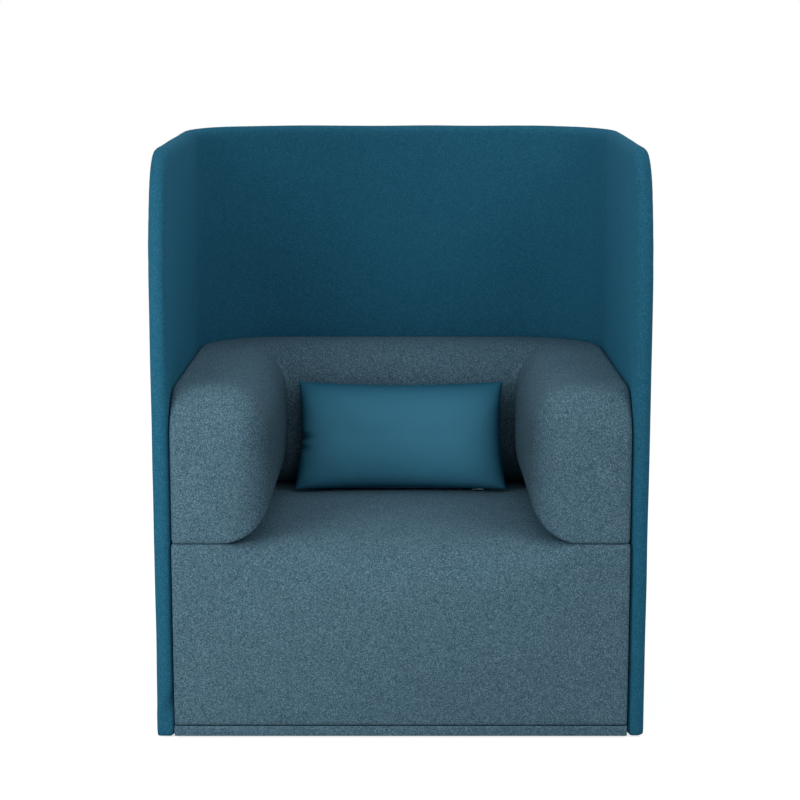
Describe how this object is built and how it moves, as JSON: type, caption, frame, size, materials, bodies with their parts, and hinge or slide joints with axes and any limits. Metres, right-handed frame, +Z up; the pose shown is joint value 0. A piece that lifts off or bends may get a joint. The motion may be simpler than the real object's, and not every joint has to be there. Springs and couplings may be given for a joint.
{
  "type": "high back lounge chair",
  "caption": "Lounge chair with a high padded wrap-around screen down to the floor, rolled seat, rounded arms and back, and a loose lumbar pillow.",
  "frame": {"origin": "on the floor under the middle of the chair's outer box", "axes": "+X to the viewer's right seen from the front, front faces -Y, +Z up"},
  "size_m": [0.9, 0.8, 1.078],
  "materials": {
    "screen_fabric": "matte",
    "seat_fabric": "matte",
    "pillow_fabric": "matte",
    "foam": "matte",
    "plywood": "matte",
    "timber": "matte",
    "webbing": "matte",
    "dust_cloth": "matte",
    "zinc_steel": "satin",
    "nylon": "matte",
    "zip": "satin"
  },
  "bodies": {
    "chair": {"screen_core": "plywood", "screen_pad": "foam", "screen_cover": "screen_fabric", "screen_tee_nuts": "zinc_steel", "screen_washers": "zinc_steel", "screen_bolts": "zinc_steel", "plinth_frame": "timber", "plinth_band": "seat_fabric", "bottom_cloth": "dust_cloth", "glides": "nylon", "glide_screws": "zinc_steel", "front_panel": "plywood", "rear_rail": "plywood", "rear_panel": "plywood", "side_panel_right": "plywood", "side_panel_left": "plywood", "seat_rail_right": "plywood", "seat_rail_left": "plywood", "corner_blocks": "timber", "arm_deck_right": "plywood", "arm_deck_left": "plywood", "rear_deck": "plywood", "strap_battens": "timber", "straps_long": "webbing", "straps_cross": "webbing", "front_pad": "foam", "seat_foam": "foam", "seat_topper": "foam", "seat_cover": "seat_fabric", "arm_board_right": "plywood", "arm_board_left": "plywood", "arm_upright_right": "plywood", "arm_upright_left": "plywood", "arm_foam_right": "foam", "arm_foam_left": "foam", "arm_cover_right": "seat_fabric", "arm_cover_left": "seat_fabric", "back_board": "plywood", "back_upright": "plywood", "back_foam": "foam", "back_cover": "seat_fabric", "deck_tee_nuts": "zinc_steel", "deck_bolts": "zinc_steel"},
    "pillow": {"pillow_cover": "pillow_fabric", "pillow_filling": "foam", "zip_chain": "zip"},
    "zip_slider": {"zip_slider": "zinc_steel"}
  },
  "joints": [
    {"name": "pillow_lift", "type": "slide", "parent": "chair", "child": "pillow", "axis": [0, 0, 1], "range_m": [0, 0.76]},
    {"name": "zip_slide", "type": "slide", "parent": "pillow", "child": "zip_slider", "axis": [-1, 0, 0], "range_m": [0, 0.312]}
  ]
}
